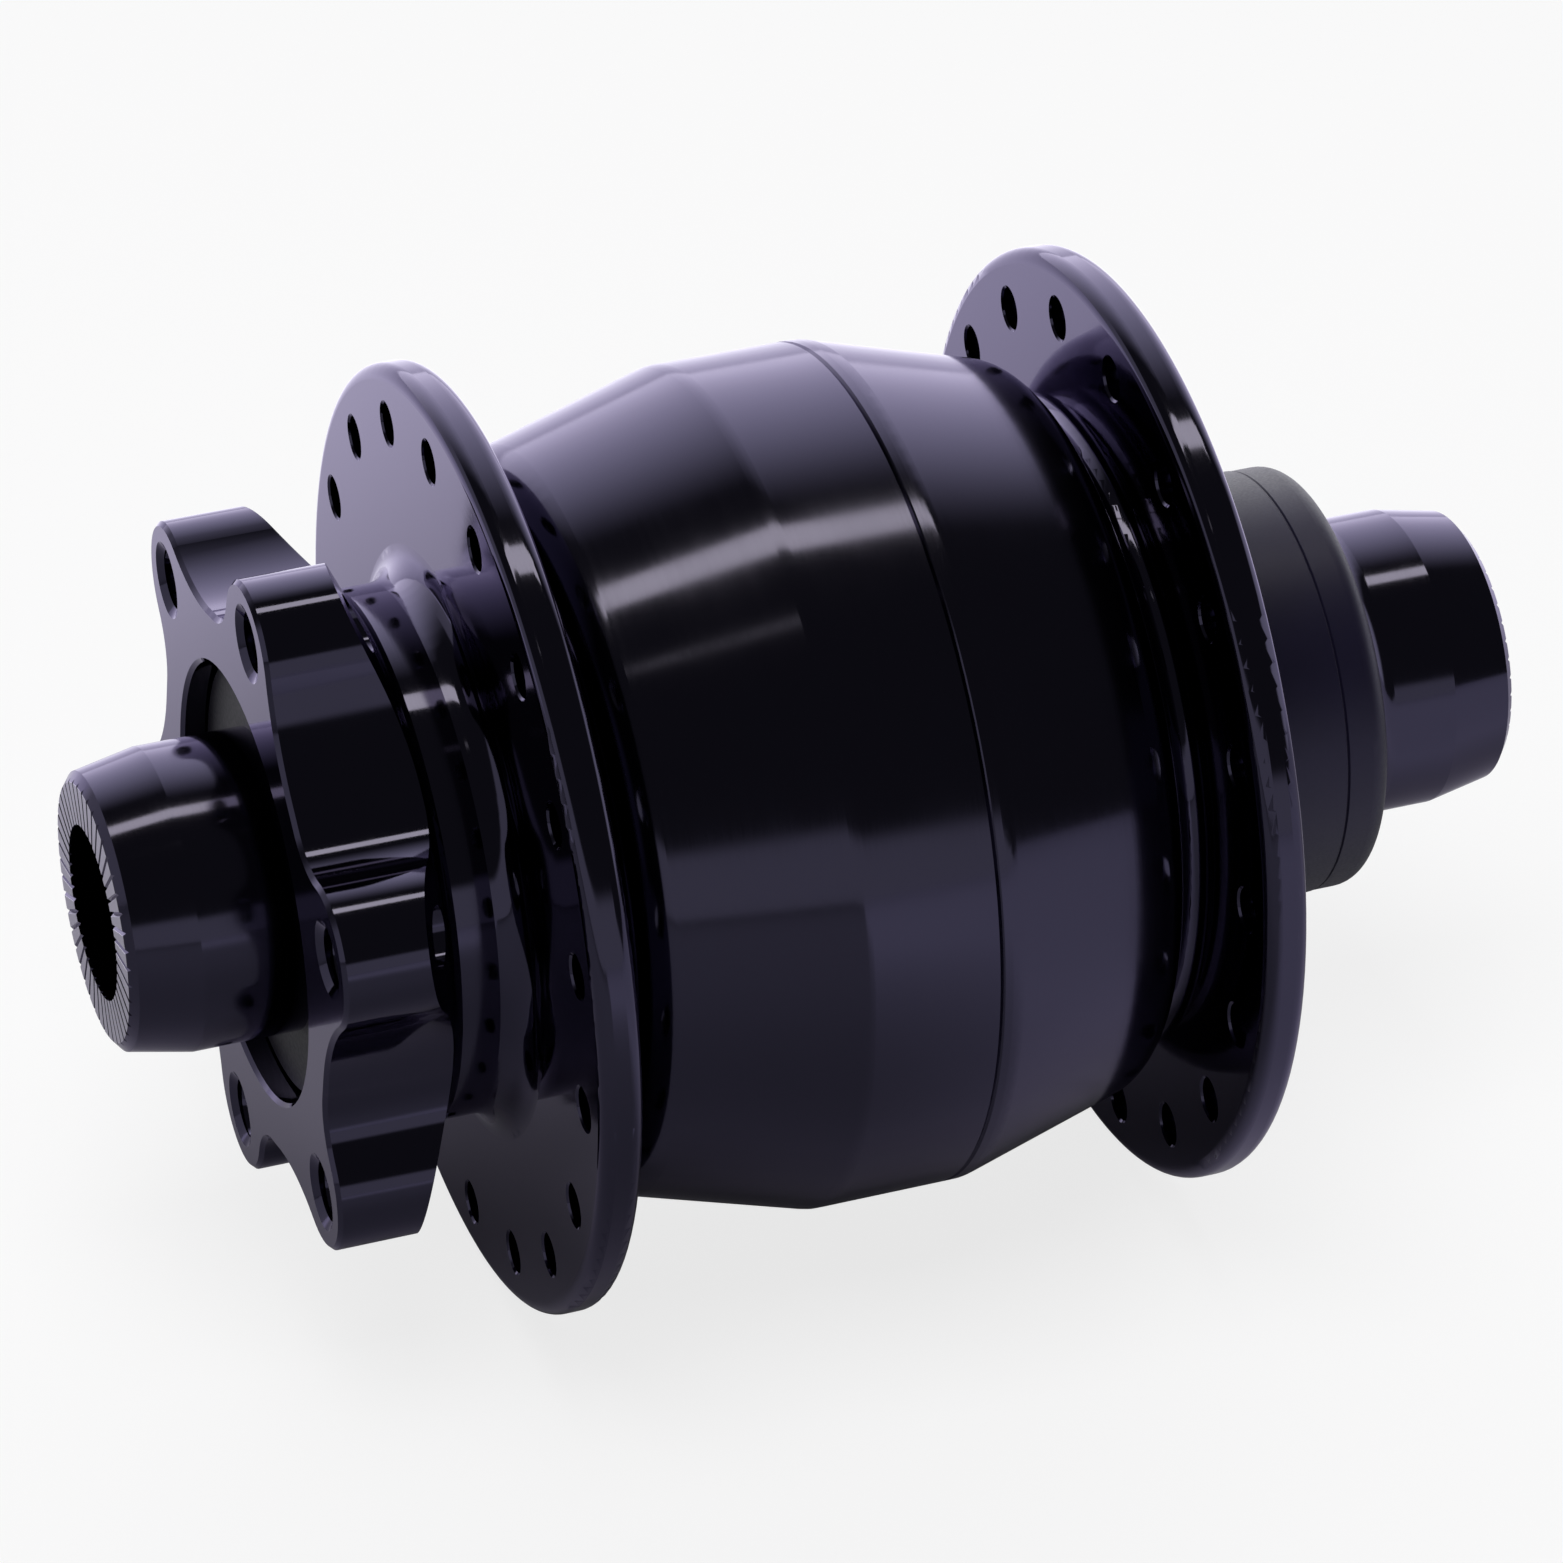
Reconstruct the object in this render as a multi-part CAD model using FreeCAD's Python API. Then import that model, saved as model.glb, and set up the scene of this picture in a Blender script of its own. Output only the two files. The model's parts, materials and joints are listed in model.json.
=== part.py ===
"""Bicycle front hub with a built-in generator, for a 12 mm through axle and a six-bolt disc rotor.

Frame: the hub axis is Y, with the disc side at +Y, Z is up and the origin is the hub's centre.
Angles around the hub are measured from +Z towards +X. Profiles are given as (radius, y) corners,
and a third number in a corner is the radius that rounds it. All sizes are in millimetres.
"""

import FreeCAD, Part

import math
import os

V = FreeCAD.Vector
ORIGIN = V(0, 0, 0)
HUB_AXIS = V(0, 1, 0)

# How far a cutting tool runs past the surface that it cuts
CUT_MARGIN = 1.0

# Interfaces of the hub as a whole
LOCKNUT_SPAN = 100.0
THRU_BORE_R = 6.05
END_FACE_R = 8.95
ROTOR_OFFSET = 10.5
ROTOR_PCD_R = 22.0
ROTOR_BOLT_COUNT = 6
ROTOR_FIRST_ANGLE = 50.0
ROTOR_HOLE_R = 2.1
ROTOR_HOLE_CHAMFER = 0.6
ROTOR_HOLE_CHAMFER_DEPTH = 0.42

# Spoke flanges
FLANGE_R = 33.0
FLANGE_THICKNESS = 3.0
FLANGE_MIDDLE = 23.3
FLANGE_ROUND = 1.0
SPOKE_HOLE_FROM_RIM = 4.0
SPOKE_COUNT = 18
SPOKE_HOLE_R = 1.5
SPOKE_CHAMFER = 0.15
SPOKE_ANGLE_LEFT = 5.2
SPOKE_ANGLE_RIGHT = 15.2

# Outside of the shell
BODY_R = 29.55
BODY_TO_CONE_LEFT = 5.1
BODY_TO_CONE_RIGHT = 5.4
CONE_SLOPE = 0.283
CONE_BLEND = 3.0
SHOULDER_ROUND = 3.3
FLANGE_GROOVE_WIDTH = 2.4
FLANGE_GROOVE_DEPTH = 7.75
FLANGE_GROOVE_ROUND = 1.15
NECK_WALL = 3.4
NECK_FILLET = 2.3
SEAM_Y = -4.25
SEAM_CHAMFER = 0.18

# Six lugs that carry the rotor, on a mount whose back is a shallow cone
LUG_DEPTH = 5.85
LUG_BACK_SLOPE = 0.45
LUG_ROOT_ROUND = 0.8
LUG_TIP_BEYOND_BOLT = 4.0
LUG_TIP_ROUND = 5.05
LUG_VALLEY_STEP = 0.8
LUG_STEEP_ROUND = 5.0
LUG_GENTLE_ROUND = 14.0
LUG_EDGE = 0.3

# Recess and bearing seats
RECESS_STEP = 0.23
RECESS_CHAMFER = 0.27
LEFT_BEARING_SET_BACK = 4.5
BEARING_SHOULDER = 1.4
RIGHT_LIP_THICKNESS = 1.0

# Inside of the shell
SHELL_WALL = 3.55
CAVITY_STEP = 2.4
CAVITY_NECK_WALL = 2.8
CAVITY_CONE = 4.1
CAVITY_CONE_FROM_GROOVE = 1.0
CAVITY_END_FROM_FLANGE = 0.5
SPIGOT_LENGTH = 3.0
SPIGOT_WALL = 1.6
SEAL_RING_THICKNESS = 0.9
SEAL_RING_CLEARANCE = 0.05

# Ball bearings
LEFT_BEARING_BORE_R = 8.5
LEFT_BEARING_R = 15.0
LEFT_BALL_R = 2.0
LEFT_BALL_COUNT = 11
RIGHT_BEARING_R = 16.0
RIGHT_BALL_R = 1.75
RIGHT_BALL_COUNT = 13
BEARING_WIDTH = 7.0
LAND_PER_BALL_R = 0.8
GROOVE_PER_BALL_R = 1.04
BALL_CLEARANCE = 0.03
CAGE_THICKNESS = 1.1
CAGE_OVERHANG = 0.4
POCKET_CLEARANCE = 0.06
BEARING_SEAL_THICKNESS = 0.5
BEARING_SEAL_INSET = 0.25
SEAL_LIP_CLEARANCE = 0.1

# Circlips that hold the bearings in the shell
CIRCLIP_THICKNESS = 1.0
CIRCLIP_BAND = 1.75
CIRCLIP_GROOVE_DEPTH = 0.7
CIRCLIP_GAP_ANGLE = 16.0
CIRCLIP_EAR_R = 1.1
CIRCLIP_EAR_OVERLAP = 0.55
CIRCLIP_EAR_ANGLE = 4.0
CIRCLIP_EAR_HOLE_R = 0.6
CIRCLIP_SLACK = 0.05
CIRCLIP_LAND = 1.1

# Hollow axle
AXLE_R = 10.0
AXLE_THREAD_R = 8.0
AXLE_END_PAST_FOOT = 5.5
COLLAR_STEP = 2.5
COLLAR_WIDTH = 3.0
ABUTMENT_STEP = 1.4

# Stator and rotor
POLE_COUNT = 26
STATOR_LENGTH = 18.0
MAGNET_YOKE_WALL = 1.8
MAGNET_YOKE_OVERHANG = 1.0
MAGNET_YOKE_END_GAP = 0.6
MAGNET_WALL = 1.9
MAGNET_GAP_ANGLE = 1.5
AIR_GAP = 0.5
CLAW_WALL = 1.4
CLAW_PLATE_THICKNESS = 1.6
CLAW_ARM_LENGTH = 2.9
CLAW_ARM_WIDTH = 4.2
CLAW_ROOT_WIDTH = 3.8
CLAW_TIP_WIDTH = 2.4
CLAW_TIP_GAP = 0.8
CORE_WALL = 2.6
BOBBIN_WALL = 1.0
BOBBIN_CLEARANCE = 1.0
WINDING_MARGIN = 0.4
STATOR_WASHER_THICKNESS = 1.0
STATOR_WASHER_RIM = 1.1
STATOR_NUT_THICKNESS = 3.0
STATOR_NUT_WALL = 2.5
NUT_SIDES = 6

# End caps
CAP_R = 10.5
CAP_CONE_LENGTH = 4.85
CAP_FACE_CHAMFER = 0.7
CAP_FACE_CHAMFER_LENGTH = 0.55
CAP_FOOT_STEP = 1.95
CAP_FOOT_RIM = 0.25
CAP_FOOT_FLARE = 1.9
SERRATION_COUNT = 44
SERRATION_WIDTH = 0.35
SERRATION_DEPTH = 0.2
O_RING_WIRE_R = 0.45
O_RING_FROM_AXLE_END = 2.0

# Dust shield in the recess
SHIELD_THICKNESS = 1.2
SHIELD_AXIAL_GAP = 0.5
SHIELD_RADIAL_GAP = 0.33

# Terminal housing and cover
HOUSING_R = 15.05
HOUSING_GAP = 0.4
HOUSING_LENGTH = 9.95
COVER_STEP = 0.05
COVER_LENGTH = 3.35
COVER_ROUND = 1.5
PLASTIC_SEAM_CHAMFER = 0.12

# Socket for the lamp lead's plug, which faces +X
SOCKET_STAND_OUT = 3.95
SOCKET_FROM_AXLE = 1.4
SOCKET_WALL = 1.0
SOCKET_FLOOR = 1.0
SOCKET_ROUND = 1.0
SOCKET_FIT = 0.05
PLUG_ROOM_BESIDE_BLADES = 1.55
PLUG_ROOM_PAST_BLADE_EDGES = 0.75
BLADE_SPACING = 5.1
BLADE_WIDTH = 4.8
BLADE_THICKNESS = 0.8
BLADE_TIP_SET_BACK = 0.4
BLADE_HOLE_R = 0.7
BLADE_HOLE_FROM_TIP = 2.6
BLADE_TIP_CHAMFER = 0.25

# Insulated leads from the coil to the blades
LEAD_R = 0.6
LEAD_BEND = 1.5
LEAD_COVER = 0.2
LEAD_FROM_SPOOL = 1.4
LEAD_CLEARANCE = 0.3
LEAD_HOLE_CLEARANCE = 0.15
LEAD_BEHIND_PLATE = 1.6

# Planes across the hub, worked out from the sizes above
half_span = LOCKNUT_SPAN / 2
rotor_face_y = half_span - ROTOR_OFFSET
lug_back_y = rotor_face_y - LUG_DEPTH
flange_in_y = FLANGE_MIDDLE - FLANGE_THICKNESS / 2
flange_out_y = FLANGE_MIDDLE + FLANGE_THICKNESS / 2
groove_start_y = flange_in_y - FLANGE_GROOVE_WIDTH
spigot_end_y = SEAM_Y + SPIGOT_LENGTH
seal_ring_end_y = spigot_end_y + SEAL_RING_THICKNESS

left_bearing_out_y = rotor_face_y - LEFT_BEARING_SET_BACK
left_bearing_in_y = left_bearing_out_y - BEARING_WIDTH
right_bearing_out_y = -flange_out_y + RIGHT_LIP_THICKNESS
right_bearing_in_y = right_bearing_out_y + BEARING_WIDTH

shield_in_y = left_bearing_out_y + CIRCLIP_THICKNESS + SHIELD_AXIAL_GAP
left_foot_y = shield_in_y + SHIELD_THICKNESS
housing_in_y = -flange_out_y - HOUSING_GAP
housing_out_y = housing_in_y - HOUSING_LENGTH
right_foot_y = housing_out_y - COVER_LENGTH
axle_end_y = AXLE_END_PAST_FOOT - right_foot_y

plate_out_y = STATOR_LENGTH / 2
plate_in_y = plate_out_y - CLAW_PLATE_THICKNESS
bobbin_in_y = plate_in_y - BOBBIN_WALL
washer_out_y = plate_out_y + STATOR_WASHER_THICKNESS
collar_out_y = -plate_out_y - COLLAR_WIDTH
yoke_end_y = plate_out_y + MAGNET_YOKE_OVERHANG
cavity_step_y = yoke_end_y + MAGNET_YOKE_END_GAP

# Radii of the shell
spoke_circle_r = FLANGE_R - SPOKE_HOLE_FROM_RIM
flange_groove_r = BODY_R - FLANGE_GROOVE_DEPTH
neck_r = LEFT_BEARING_R + NECK_WALL
recess_r = LEFT_BEARING_R + RECESS_STEP
lug_tip_r = ROTOR_PCD_R + LUG_TIP_BEYOND_BOLT
lug_valley_r = neck_r + LUG_VALLEY_STEP
lug_root_y = lug_back_y - LUG_BACK_SLOPE * (lug_tip_r - neck_r)
lug_start_y = lug_root_y - LUG_ROOT_ROUND
right_lip_r = RIGHT_BEARING_R - BEARING_SHOULDER

# Radii of the rotor and the stator, from the outside inwards
yoke_r = BODY_R - SHELL_WALL
spigot_r = yoke_r + SPIGOT_WALL
magnet_r = yoke_r - MAGNET_YOKE_WALL
magnet_in_r = magnet_r - MAGNET_WALL
claw_r = magnet_in_r - AIR_GAP
claw_in_r = claw_r - CLAW_WALL
plate_r = claw_in_r - CLAW_ARM_LENGTH
bobbin_r = claw_in_r - BOBBIN_CLEARANCE
core_r = AXLE_R + CORE_WALL
spool_r = core_r + BOBBIN_WALL
abutment_r = AXLE_R + ABUTMENT_STEP

# The plug socket and the route of the leads
socket_y = (housing_in_y + housing_out_y) / 2
socket_x = AXLE_R + SOCKET_FROM_AXLE
socket_mouth_x = HOUSING_R + SOCKET_STAND_OUT
blade_z = BLADE_SPACING / 2
blade_tip_x = socket_mouth_x - BLADE_TIP_SET_BACK
socket_half_y = BLADE_WIDTH / 2 + PLUG_ROOM_PAST_BLADE_EDGES + SOCKET_WALL
socket_half_z = blade_z + BLADE_THICKNESS / 2 + PLUG_ROOM_BESIDE_BLADES + SOCKET_WALL
lead_depth_r = AXLE_R - LEAD_COVER - LEAD_R
lead_x = math.sqrt(lead_depth_r ** 2 - blade_z ** 2)
lead_start_x = spool_r + LEAD_FROM_SPOOL
lead_turn_y = -plate_out_y - LEAD_BEHIND_PLATE


def around(radius, angle, y):
    """The point at this radius and angle around the hub axis."""
    turn = math.radians(angle)
    return V(radius * math.sin(turn), y, radius * math.cos(turn))


def rounded_edges(corners, closed):
    """Straight runs from corner to corner, with a tangent arc where a corner has a radius."""
    count = len(corners)
    stations = []
    for i, (here, radius) in enumerate(corners):
        at_end = not closed and i in (0, count - 1)
        if radius == 0 or at_end:
            stations.append((here, None, here))
            continue
        back = (corners[i - 1][0] - here).normalize()
        ahead = (corners[(i + 1) % count][0] - here).normalize()
        half_angle = back.getAngle(ahead) / 2
        inward = (back + ahead).normalize()
        cut = radius / math.tan(half_angle)
        middle = here + inward * (radius / math.sin(half_angle) - radius)
        stations.append((here + back * cut, middle, here + ahead * cut))
    edges = []
    for i, (start, middle, end) in enumerate(stations):
        if middle is not None:
            edges.append(Part.Arc(start, middle, end).toShape())
        if i == count - 1 and not closed:
            break
        following = stations[(i + 1) % count][0]
        if end.distanceToPoint(following) > 1e-6:
            edges.append(Part.LineSegment(end, following).toShape())
    return edges


def turned(profile, angle=360.0):
    """A solid turned about the hub axis from (radius, y) corners, each with an optional rounding."""
    corners = [(V(p[0], p[1], 0), p[2] if len(p) > 2 else 0) for p in profile]
    face = Part.Face(Part.Wire(rounded_edges(corners, True)))
    return face.revolve(ORIGIN, HUB_AXIS, angle)


def tube(inner_r, outer_r, y_from, y_to):
    return turned([(inner_r, y_from), (outer_r, y_from), (outer_r, y_to), (inner_r, y_to)])


def ring_of(shape, count, first_angle=0.0):
    """Copies of a shape made at angle zero, spread evenly around the hub axis."""
    copies = []
    for k in range(count):
        copy = shape.copy()
        copy.rotate(ORIGIN, HUB_AXIS, first_angle + 360.0 * k / count)
        copies.append(copy)
    return copies


def block(x_from, x_to, y_from, y_to, z_from, z_to):
    return Part.makeBox(x_to - x_from, y_to - y_from, z_to - z_from, V(x_from, y_from, z_from))


def drill(radius, centre_r, y_from, y_to, chamfer, chamfer_depth, chamfer_ends):
    """A drill along the hub axis at angle zero, with a countersink at each listed end."""
    tool = Part.makeCylinder(radius, y_to - y_from, V(0, y_from, centre_r), HUB_AXIS)
    for y in chamfer_ends:
        inward = V(0, 1, 0) if y == y_from else V(0, -1, 0)
        mouth = V(0, y, centre_r)
        sink = Part.makeCone(radius + chamfer, radius, chamfer_depth, mouth, inward)
        tool = tool.fuse(sink)
    return tool


def save(name, *solids):
    """Writes one sub-part; several solids are loose pieces of one kind."""
    shape = solids[0] if len(solids) == 1 else Part.makeCompound(list(solids))
    shape.exportStep(os.path.join("parts", name + ".step"))


def cone_radius(y, cone_start):
    """Radius of the body where its straight cone, run on, would cross the plane at this y."""
    return BODY_R - CONE_SLOPE * (y - cone_start)


def flange_outline(side, cone_start):
    """Profile corners from the body's cone, through the groove, round the flange to its outer face."""
    return [
        (BODY_R, side * cone_start, CONE_BLEND),
        (cone_radius(groove_start_y, cone_start), side * groove_start_y, SHOULDER_ROUND),
        (flange_groove_r, side * groove_start_y, FLANGE_GROOVE_ROUND),
        (flange_groove_r, side * flange_in_y, FLANGE_GROOVE_ROUND),
        (FLANGE_R, side * flange_in_y, FLANGE_ROUND),
        (FLANGE_R, side * flange_out_y, FLANGE_ROUND),
    ]


def spoke_holes(side, first_angle):
    y_from = min(side * flange_in_y, side * flange_out_y)
    y_to = max(side * flange_in_y, side * flange_out_y)
    tool = drill(SPOKE_HOLE_R, spoke_circle_r, y_from, y_to, SPOKE_CHAMFER, SPOKE_CHAMFER, (y_from, y_to))
    return ring_of(tool, SPOKE_COUNT, first_angle)


def hollow_spread(hollow_round):
    """Angle from a lug's middle to the centre of a hollow that is tangent to its tip."""
    tip_centre_r = lug_tip_r - LUG_TIP_ROUND
    hollow_centre_r = lug_valley_r + hollow_round
    reach = LUG_TIP_ROUND + hollow_round
    cosine = (tip_centre_r ** 2 + hollow_centre_r ** 2 - reach ** 2) / (2 * tip_centre_r * hollow_centre_r)
    return math.degrees(math.acos(cosine))


def lug_side(angle, spread, hollow_round):
    """Where the tip at angle meets the hollow spread degrees on, and that hollow's centre."""
    tip_centre = around(lug_tip_r - LUG_TIP_ROUND, angle, lug_start_y)
    hollow_centre = around(lug_valley_r + hollow_round, angle + spread, lug_start_y)
    share = LUG_TIP_ROUND / (LUG_TIP_ROUND + hollow_round)
    return tip_centre + (hollow_centre - tip_centre) * share, hollow_centre


def lug_star():
    """The six rotor lugs: round tips with a gentle flank before and a steep one after."""
    step = 360.0 / ROTOR_BOLT_COUNT
    gentle = hollow_spread(LUG_GENTLE_ROUND)
    steep = hollow_spread(LUG_STEEP_ROUND)
    floor_half = (step - gentle - steep) / 2
    edges = []
    for k in range(ROTOR_BOLT_COUNT):
        angle = ROTOR_FIRST_ANGLE + k * step
        tip_start, gentle_centre = lug_side(angle, -gentle, LUG_GENTLE_ROUND)
        tip_end, steep_centre = lug_side(angle, steep, LUG_STEEP_ROUND)
        floor_start = around(lug_valley_r, angle - gentle - 2 * floor_half, lug_start_y)
        floor_middle = around(lug_valley_r, angle - gentle - floor_half, lug_start_y)
        floor_end = around(lug_valley_r, angle - gentle, lug_start_y)
        steep_end = around(lug_valley_r, angle + steep, lug_start_y)
        edges.append(Part.Arc(floor_start, floor_middle, floor_end).toShape())
        edges.append(hollow_arc(floor_end, gentle_centre, tip_start, LUG_GENTLE_ROUND))
        edges.append(Part.Arc(tip_start, around(lug_tip_r, angle, lug_start_y), tip_end).toShape())
        edges.append(hollow_arc(tip_end, steep_centre, steep_end, LUG_STEEP_ROUND))
    star = Part.Face(Part.Wire(edges)).extrude(V(0, rotor_face_y - lug_start_y, 0))
    front_rim = [e for e in star.Edges if e.BoundBox.YMin > lug_back_y]
    star = star.makeChamfer(LUG_EDGE, front_rim)
    core = Part.makeCylinder(neck_r - CUT_MARGIN, rotor_face_y - lug_start_y, V(0, lug_start_y, 0), HUB_AXIS)
    return star.cut(behind_lugs()).cut(core)


def behind_lugs():
    """The ring of space behind the lugs: a cone that meets the neck in a small round."""
    outer_r = lug_tip_r + CUT_MARGIN
    return turned([
        (neck_r, lug_start_y - CUT_MARGIN),
        (outer_r, lug_start_y - CUT_MARGIN),
        (outer_r, lug_back_y + LUG_BACK_SLOPE * CUT_MARGIN),
        (neck_r, lug_root_y, LUG_ROOT_ROUND),
    ])


def hollow_arc(start, centre, end, hollow_round):
    """The short arc from start to end about a hollow's centre."""
    towards = ((start - centre) + (end - centre)).normalize()
    return Part.Arc(start, centre + towards * hollow_round, end).toShape()


def left_shell():
    """Disc mount, neck, left flange and most of the body, turned in one piece and then drilled."""
    groove_r = LEFT_BEARING_R + CIRCLIP_GROOVE_DEPTH
    groove_end_y = left_bearing_out_y + CIRCLIP_THICKNESS + CIRCLIP_SLACK
    shoulder_r = LEFT_BEARING_R - BEARING_SHOULDER
    cavity_end_y = flange_in_y - CAVITY_END_FROM_FLANGE
    cavity_neck_r = flange_groove_r - CAVITY_NECK_WALL
    cone_top_y = groove_start_y - CAVITY_CONE_FROM_GROOVE
    body = turned(
        [(BODY_R - SEAM_CHAMFER, SEAM_Y), (BODY_R, SEAM_Y + SEAM_CHAMFER)]
        + flange_outline(1, BODY_TO_CONE_LEFT)
        + [
            (neck_r, flange_out_y, NECK_FILLET),
            (neck_r, rotor_face_y),
            (recess_r + RECESS_CHAMFER, rotor_face_y),
            (recess_r, rotor_face_y - RECESS_CHAMFER),
            (recess_r, groove_end_y),
            (groove_r, groove_end_y),
            (groove_r, left_bearing_out_y),
            (LEFT_BEARING_R, left_bearing_out_y),
            (LEFT_BEARING_R, left_bearing_in_y),
            (shoulder_r, left_bearing_in_y),
            (shoulder_r, cavity_end_y),
            (cavity_neck_r, cavity_end_y),
            (cavity_neck_r, cone_top_y),
            (yoke_r - CAVITY_STEP, cone_top_y - CAVITY_CONE),
            (yoke_r - CAVITY_STEP, cavity_step_y),
            (yoke_r, cavity_step_y),
            (yoke_r, seal_ring_end_y),
            (spigot_r, seal_ring_end_y),
            (spigot_r, SEAM_Y),
        ]
    )
    shell = body.fuse(lug_star())
    bolt_hole = drill(
        ROTOR_HOLE_R,
        ROTOR_PCD_R,
        lug_root_y,
        rotor_face_y,
        ROTOR_HOLE_CHAMFER,
        ROTOR_HOLE_CHAMFER_DEPTH,
        (rotor_face_y,),
    )
    holes = ring_of(bolt_hole, ROTOR_BOLT_COUNT, ROTOR_FIRST_ANGLE) + spoke_holes(1, SPOKE_ANGLE_LEFT)
    return shell.cut(Part.makeCompound(holes)).removeSplitter()


def right_shell():
    """Right flange and the short half of the body, with the spigot that enters the left shell."""
    groove_r = RIGHT_BEARING_R + CIRCLIP_GROOVE_DEPTH
    groove_end_y = right_bearing_in_y + CIRCLIP_THICKNESS + CIRCLIP_SLACK
    wall_y = groove_end_y + CIRCLIP_LAND
    body = turned(
        [(BODY_R - SEAM_CHAMFER, SEAM_Y), (BODY_R, SEAM_Y - SEAM_CHAMFER)]
        + flange_outline(-1, BODY_TO_CONE_RIGHT)
        + [
            (right_lip_r, -flange_out_y),
            (right_lip_r, right_bearing_out_y),
            (RIGHT_BEARING_R, right_bearing_out_y),
            (RIGHT_BEARING_R, right_bearing_in_y),
            (groove_r, right_bearing_in_y),
            (groove_r, groove_end_y),
            (RIGHT_BEARING_R, groove_end_y),
            (RIGHT_BEARING_R, wall_y),
            (yoke_r - CAVITY_STEP, wall_y),
            (yoke_r - CAVITY_STEP, -cavity_step_y),
            (yoke_r, -cavity_step_y),
            (yoke_r, spigot_end_y),
            (spigot_r, spigot_end_y),
            (spigot_r, SEAM_Y),
        ]
    )
    return body.cut(Part.makeCompound(spoke_holes(-1, SPOKE_ANGLE_RIGHT)))


def shell_seal_ring():
    """Flat rubber ring between the end of the spigot and the floor of its seat."""
    return tube(
        yoke_r + SEAL_RING_CLEARANCE,
        spigot_r - SEAL_RING_CLEARANCE,
        spigot_end_y,
        seal_ring_end_y,
    )


def hollow_axle():
    """The stepped axle tube, with two grooves that let the leads pass under the right bearing."""
    collar_r = AXLE_R + COLLAR_STEP
    axle = turned([
        (THRU_BORE_R, -axle_end_y),
        (AXLE_THREAD_R, -axle_end_y),
        (AXLE_THREAD_R, right_foot_y),
        (AXLE_R, right_foot_y),
        (AXLE_R, right_bearing_in_y),
        (abutment_r, right_bearing_in_y),
        (abutment_r, collar_out_y),
        (collar_r, collar_out_y),
        (collar_r, -plate_out_y),
        (AXLE_R, -plate_out_y),
        (AXLE_R, left_bearing_in_y),
        (LEFT_BEARING_BORE_R, left_bearing_in_y),
        (LEFT_BEARING_BORE_R, left_bearing_out_y),
        (AXLE_THREAD_R, left_bearing_out_y),
        (AXLE_THREAD_R, axle_end_y),
        (THRU_BORE_R, axle_end_y),
    ])
    half_width = LEAD_R + LEAD_CLEARANCE
    for z in (-blade_z, blade_z):
        groove = block(
            lead_x - half_width,
            collar_r + CUT_MARGIN,
            socket_y - half_width,
            -plate_out_y,
            z - half_width,
            z + half_width,
        )
        axle = axle.cut(groove)
    return axle


def serrations(side):
    """Shallow V grooves across the end face, which bite into the fork."""
    y = side * half_span
    start_z = THRU_BORE_R - CUT_MARGIN
    left = V(-SERRATION_WIDTH / 2, y, start_z)
    right = V(SERRATION_WIDTH / 2, y, start_z)
    bottom = V(0, y - side * SERRATION_DEPTH, start_z)
    section = Part.Face(Part.makePolygon([left, right, bottom, left]))
    groove = section.extrude(V(0, 0, END_FACE_R + CUT_MARGIN - start_z))
    return Part.makeCompound(ring_of(groove, SERRATION_COUNT))


def end_cap(side, foot):
    """A cap over one end of the axle: serrated face, short cone and cylinder, then its own foot."""
    profile = [
        (THRU_BORE_R, half_span),
        (END_FACE_R, half_span),
        (END_FACE_R + CAP_FACE_CHAMFER, half_span - CAP_FACE_CHAMFER_LENGTH),
        (CAP_R, half_span - CAP_CONE_LENGTH),
    ] + foot + [
        (AXLE_THREAD_R, axle_end_y),
        (THRU_BORE_R, axle_end_y),
    ]
    cap = turned([(corner[0], side * corner[1]) + tuple(corner[2:]) for corner in profile])
    ring_y = side * (axle_end_y - O_RING_FROM_AXLE_END)
    seat_depth = 2 * O_RING_WIRE_R
    seat = tube(
        AXLE_THREAD_R,
        AXLE_THREAD_R + seat_depth,
        ring_y - O_RING_WIRE_R,
        ring_y + O_RING_WIRE_R,
    )
    return cap.cut(seat).cut(serrations(side))


def end_cap_o_rings():
    """One O-ring in each cap, squeezed between the cap and the axle."""
    rings = []
    for side in (1, -1):
        centre = V(0, side * (axle_end_y - O_RING_FROM_AXLE_END), 0)
        rings.append(Part.makeTorus(AXLE_THREAD_R + O_RING_WIRE_R, O_RING_WIRE_R, centre, HUB_AXIS))
    return rings


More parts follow.
